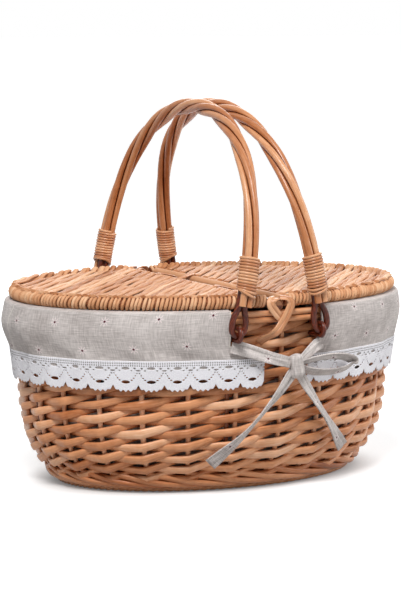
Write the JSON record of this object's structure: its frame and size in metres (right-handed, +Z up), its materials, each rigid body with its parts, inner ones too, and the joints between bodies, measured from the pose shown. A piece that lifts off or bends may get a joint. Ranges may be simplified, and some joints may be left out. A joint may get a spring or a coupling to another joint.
{
  "type": "picnic basket",
  "caption": "Oval woven willow picnic basket with hinged flap lids, twisted swing handles and a linen liner edged with lace.",
  "frame": {"origin": "on the floor, under the middle of the oval", "axes": "+X along the oval's long axis, +Y across it to the far side, +Z up"},
  "size_m": [0.4028, 0.3294, 0.365],
  "materials": {
    "willow": "steamed willow rods with a thin clear varnish",
    "pale_willow": "paler split and round willow, thin clear varnish",
    "cane": "flat split cane, satin",
    "brown_loop": "dark red-brown twisted strand, glossy",
    "linen": "grey-beige plain woven linen with a scattered small daisy print",
    "lace": "white cotton crochet lace with a scalloped edge"
  },
  "bodies": {
    "basket": {"foot_border": "willow", "base_weave": "willow", "side_weave": "willow", "border_rod_upper": "willow", "border_rod_lower": "willow", "centre_bar": "willow", "bar_lashing_near": "cane", "bar_lashing_far": "cane", "hinge_tie_left_1": "cane", "hinge_tie_left_2": "cane", "hinge_tie_right_1": "cane", "hinge_tie_right_2": "cane", "rim_loop_left_near": "brown_loop", "rim_loop_left_far": "brown_loop", "rim_loop_right_near": "brown_loop", "rim_loop_right_far": "brown_loop", "liner_bag": "linen", "liner_cuff_left": "linen", "liner_cuff_right": "linen", "lace_left": "lace", "lace_right": "lace", "near_strap_left": "linen", "near_strap_right": "linen", "near_bow_loop": "linen", "near_tail_left": "linen", "near_tail_right": "linen", "near_knot": "linen", "far_strap_left": "linen", "far_strap_right": "linen", "far_bow_loop": "linen", "far_tail_left": "linen", "far_tail_right": "linen", "far_knot": "linen"},
    "left_lid": {"lid_left_edge": "pale_willow", "lid_left_hinge_rod": "pale_willow", "lid_left_weave": "pale_willow"},
    "right_lid": {"lid_right_edge": "pale_willow", "lid_right_hinge_rod": "pale_willow", "lid_right_weave": "pale_willow"},
    "left_handle": {"handle_left_rod_1": "willow", "handle_left_rod_2": "willow", "handle_left_rod_3": "willow", "handle_left_binding_near": "cane", "handle_left_binding_far": "cane", "handle_left_loop_near": "brown_loop", "handle_left_loop_far": "brown_loop"},
    "right_handle": {"handle_right_rod_1": "willow", "handle_right_rod_2": "willow", "handle_right_rod_3": "willow", "handle_right_binding_near": "cane", "handle_right_binding_far": "cane", "handle_right_loop_near": "brown_loop", "handle_right_loop_far": "brown_loop"}
  },
  "joints": [
    {"name": "left_lid_hinge", "type": "hinge", "parent": "basket", "child": "left_lid", "pos_m": [-0.0125, 0, 0.183], "axis": [0, 1, 0], "range_deg": [0, 80]},
    {"name": "right_lid_hinge", "type": "hinge", "parent": "basket", "child": "right_lid", "pos_m": [0.0125, 0, 0.183], "axis": [0, -1, 0], "range_deg": [0, 80]},
    {"name": "left_handle_swing", "type": "hinge", "parent": "basket", "child": "left_handle", "pos_m": [-0.0438, 0, 0.1607], "axis": [0, -1, 0], "range_deg": [0, 100]},
    {"name": "right_handle_swing", "type": "hinge", "parent": "basket", "child": "right_handle", "pos_m": [0.0438, 0, 0.1607], "axis": [0, 1, 0], "range_deg": [0, 100]}
  ]
}
